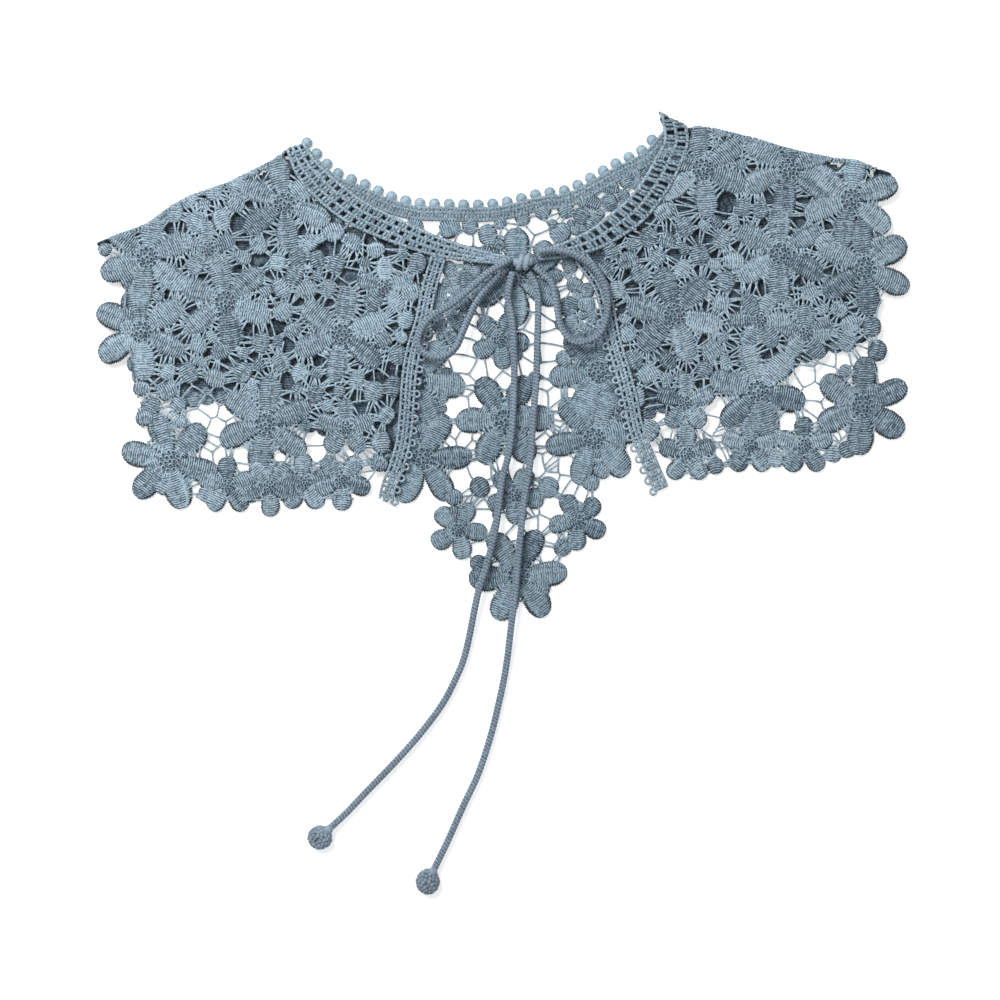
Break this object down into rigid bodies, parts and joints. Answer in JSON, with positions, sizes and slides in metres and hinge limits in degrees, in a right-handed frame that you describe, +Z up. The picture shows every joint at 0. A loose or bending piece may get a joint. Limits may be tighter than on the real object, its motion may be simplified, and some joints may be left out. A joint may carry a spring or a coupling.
{
  "type": "crocheted lace collar",
  "caption": "Floral crocheted lace capelet collar, folded at the shoulders and laid flat, closed at the front neck by a cord tied in a bow.",
  "frame": {"origin": "on the surface that the collar lies on, under the middle of the collar's own box, the tie left out", "axes": "+X to the right of the collar as it lies front up, +Y from the hem towards the neck, +Z up out of the surface"},
  "size_m": [0.4058, 0.3904, 0.0095],
  "materials": {
    "lace_cotton": "matt crocheted cotton, dusty blue",
    "lace_cotton_inside": "matt crocheted cotton, the back layer's inner side",
    "cord_knit": "matt knitted cotton cord"
  },
  "bodies": {
    "root": {"back": "lace_cotton_inside", "back_neckband": "lace_cotton_inside", "front_left": "lace_cotton", "front_right": "lace_cotton", "neckband_left": "lace_cotton", "neckband_right": "lace_cotton", "edging_left": "lace_cotton", "edging_right": "lace_cotton", "knot": "cord_knit", "loop_left": "cord_knit", "loop_right": "cord_knit", "tail_left": "cord_knit", "tail_right": "cord_knit", "bobble_left": "cord_knit", "bobble_right": "cord_knit"}
  },
  "joints": []
}
